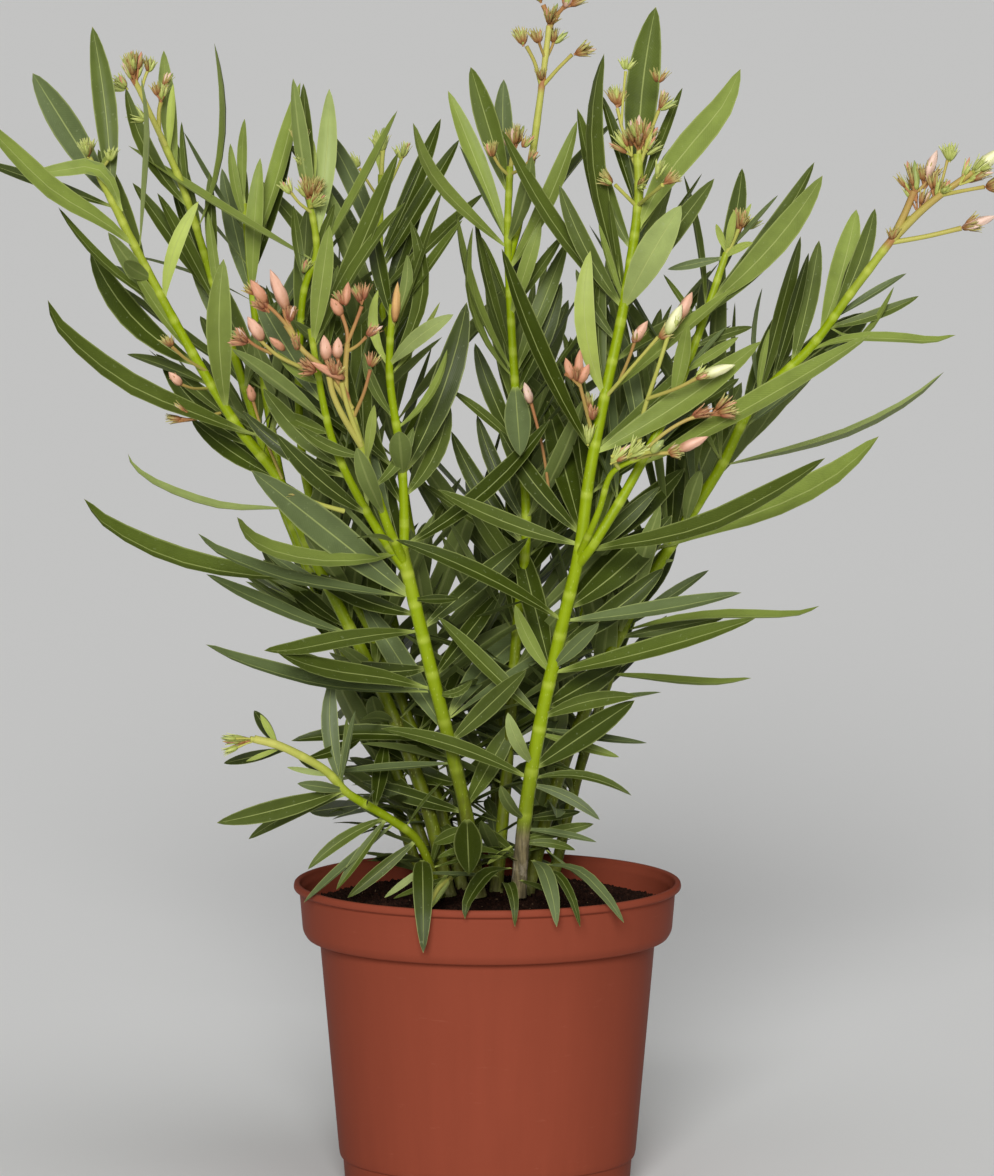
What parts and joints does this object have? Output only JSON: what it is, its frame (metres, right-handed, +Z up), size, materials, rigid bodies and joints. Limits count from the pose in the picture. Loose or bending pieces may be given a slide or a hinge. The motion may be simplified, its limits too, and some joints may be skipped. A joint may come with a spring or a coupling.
{
  "type": "potted oleander",
  "caption": "Young oleander in a round terracotta-coloured plastic pot: slender branching stems with whorls of long narrow leaves, and clusters of pink and cream buds at the tips.",
  "frame": {"origin": "on the floor under the middle of the pot, which stands on it", "axes": "+Z up from the pot's foot, the plant's front towards -Y, its left and right tips along -X and +X"},
  "size_m": [0.4989, 0.34, 0.5994],
  "materials": {
    "terracotta_plastic": "satin",
    "compost": "rough",
    "stem": "satin",
    "foliage": "matte",
    "blossom": "matte"
  },
  "bodies": {
    "root": {"bloom_right": "blossom", "bloom_top": "blossom", "bough_centre_top": "stem", "bough_front_left_bloom": "stem", "bough_front_left_leader": "stem", "bough_front_left_upright": "stem", "bough_front_right_bloom": "stem", "bough_front_right_outer": "stem", "bough_left_back_inner": "stem", "compost": "compost", "mass_back_centre": "foliage", "mass_back_left": "foliage", "mass_back_lower": "foliage", "mass_back_right": "foliage", "mass_centre_left": "foliage", "mass_centre_middle": "foliage", "mass_centre_top": "foliage", "mass_core": "foliage", "mass_far_left": "foliage", "mass_far_right": "foliage", "mass_foot_left": "foliage", "mass_foot_right": "foliage", "mass_front_left": "foliage", "mass_front_right": "foliage", "mass_front_right_top": "foliage", "mass_left": "foliage", "mass_left_back_top": "foliage", "mass_left_bloom": "blossom", "mass_left_inner": "foliage", "mass_left_lower": "foliage", "mass_left_mid": "foliage", "mass_left_middle": "foliage", "mass_left_outer": "foliage", "mass_low_shoot": "foliage", "mass_right_inner": "foliage", "mass_right_lower": "foliage", "mass_right_middle": "foliage", "mass_right_outer": "foliage", "pot": "terracotta_plastic", "shoot_low_left": "stem", "stem_back_centre": "stem", "stem_back_left": "stem", "stem_back_right": "stem", "stem_centre": "stem", "stem_centre_back": "stem", "stem_far_left": "stem", "stem_far_right": "stem", "stem_front_left": "stem", "stem_front_right": "stem", "stem_left": "stem", "stem_left_back": "stem", "stem_left_inner": "stem", "stem_right": "stem"}
  },
  "joints": []
}
